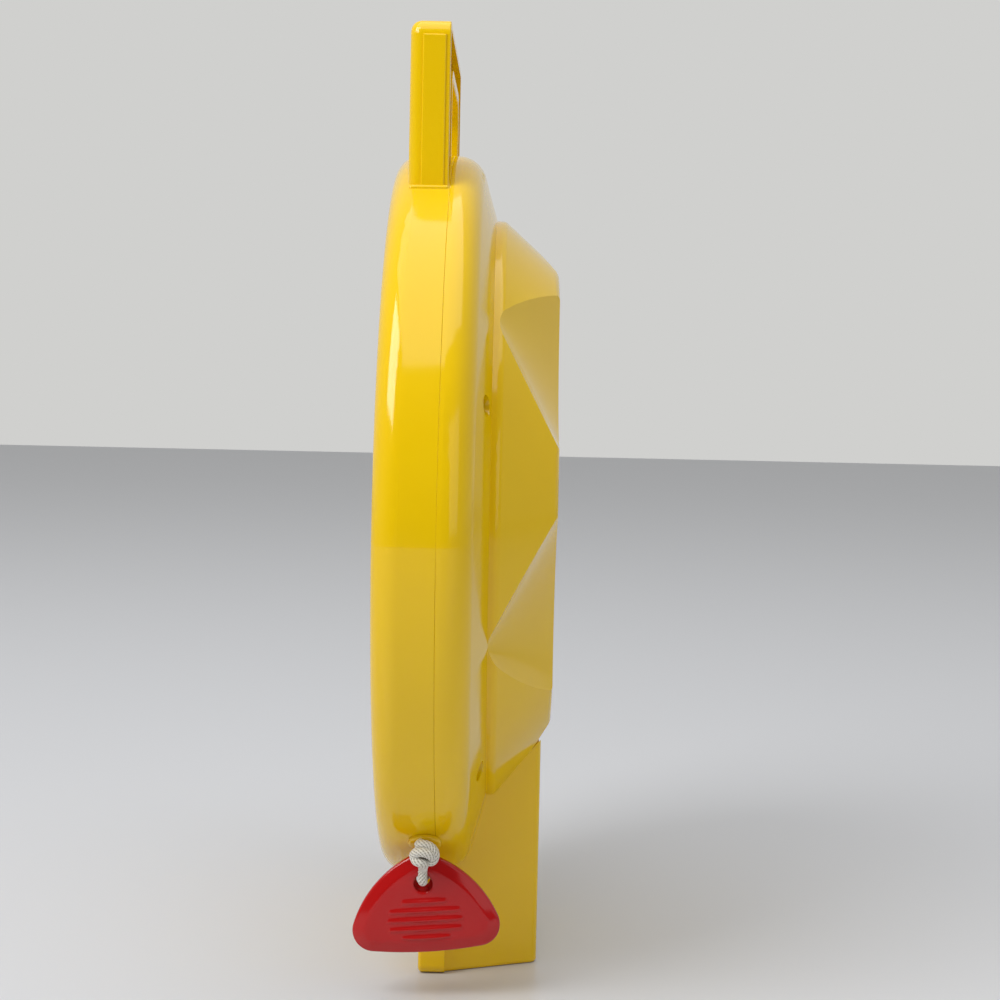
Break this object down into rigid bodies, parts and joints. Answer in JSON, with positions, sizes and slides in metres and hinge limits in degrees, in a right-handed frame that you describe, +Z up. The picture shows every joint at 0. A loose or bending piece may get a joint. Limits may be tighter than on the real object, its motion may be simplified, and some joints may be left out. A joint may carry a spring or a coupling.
{
  "type": "pull-string animal sound spinner toy",
  "caption": "Round talking picture dial toy on a foot, with a carrying handle, turning pointer, fluted sound dome, pull string and ribbed finger tab.",
  "frame": {"origin": "middle of the foot's base, on the parting plane between the two shells", "axes": "+Z up, -Y towards the picture dial in front, +Y towards the sound dome, +X towards the side where the string comes out"},
  "size_m": [0.23, 0.0578, 0.2885],
  "materials": {
    "yellow_case": "glossy moulded plastic",
    "yellow_bush": "glossy moulded plastic",
    "red_plastic": "glossy moulded plastic",
    "white_plastic": "satin acetal plastic",
    "black_plastic": "satin plastic",
    "record_plastic": "hard glossy record plastic",
    "cone_plastic": "thin matt vacuum-formed plastic",
    "printed_card": "printed card",
    "string": "braided polyester cord",
    "belt_rubber": "matt rubber",
    "zinc_steel": "zinc-plated steel",
    "spring_steel": "hardened spring steel",
    "brass": "turned brass"
  },
  "bodies": {
    "casing": {"front_shell": "yellow_case", "back_shell": "yellow_case", "case_screws": "zinc_steel", "picture_disc": "printed_card", "detent_spring": "spring_steel", "detent_screw": "zinc_steel", "chassis_plate": "black_plastic", "chassis_screws": "zinc_steel", "spring_cup": "zinc_steel", "mainspring": "spring_steel", "bearing_bush": "brass", "governor_cup": "zinc_steel", "tone_arm_pin": "zinc_steel", "arm_clip": "spring_steel", "arm_spring": "spring_steel", "speaker_cone": "cone_plastic", "sound_bar": "cone_plastic", "speaker_frame": "black_plastic", "speaker_screws": "zinc_steel", "string_bushing": "yellow_bush", "string_run": "string", "drive_belt": "belt_rubber"},
    "dial": {"pointer": "red_plastic", "pointer_cap": "red_plastic", "selector_shaft": "white_plastic", "selector_wheel": "white_plastic", "shaft_clip": "zinc_steel"},
    "rotor": {"spindle": "spring_steel", "string_spool": "white_plastic", "string_winding": "string", "turntable": "black_plastic", "record_disc": "record_plastic", "record_clip": "spring_steel"},
    "governor": {"governor_shaft": "spring_steel", "governor_pulley": "white_plastic", "governor_spring": "spring_steel", "governor_weights": "brass"},
    "tone_arm": {"tone_arm": "white_plastic", "stylus": "spring_steel"},
    "pull": {"string_knot": "string", "string_strand": "string", "string_end_knot": "string"},
    "tab": {"pull_tab": "red_plastic"}
  },
  "joints": [
    {"name": "dial_turn", "type": "hinge", "parent": "casing", "child": "dial", "pos_m": [0, -0.014, 0.1385], "axis": [0, -1, 0], "continuous": true},
    {"name": "rotor_spin", "type": "hinge", "parent": "casing", "child": "rotor", "pos_m": [0, 0.005, 0.1385], "axis": [0, -1, 0], "range_deg": [0, 1245], "stiffness_Nm_per_rad": 0.0019, "springref_deg": -1243.32},
    {"name": "string_pull", "type": "slide", "parent": "casing", "child": "pull", "axis": [1, 0, 0], "range_m": [0, 0.3]},
    {"name": "governor_spin", "type": "hinge", "parent": "casing", "child": "governor", "pos_m": [-0.03893, 0.012, 0.18675], "axis": [0, -1, 0], "range_deg": [0, 10012]},
    {"name": "tone_arm_swing", "type": "hinge", "parent": "casing", "child": "tone_arm", "pos_m": [-0.05438, 0.0175, 0.11314], "axis": [0, -1, 0], "range_deg": [0, 21.3]},
    {"name": "tab_swing", "type": "hinge", "parent": "pull", "child": "tab", "pos_m": [0.07056, -0.0035, 0.03645], "axis": [1, 0, 0], "range_deg": [-30, 30]}
  ],
  "couplings": [
    {"joint": "string_pull", "follows": "rotor_spin", "m_per_rad": 0.0138},
    {"joint": "governor_spin", "follows": "rotor_spin", "ratio": 8.04},
    {"joint": "tone_arm_swing", "follows": "rotor_spin", "ratio": 0.017091}
  ]
}
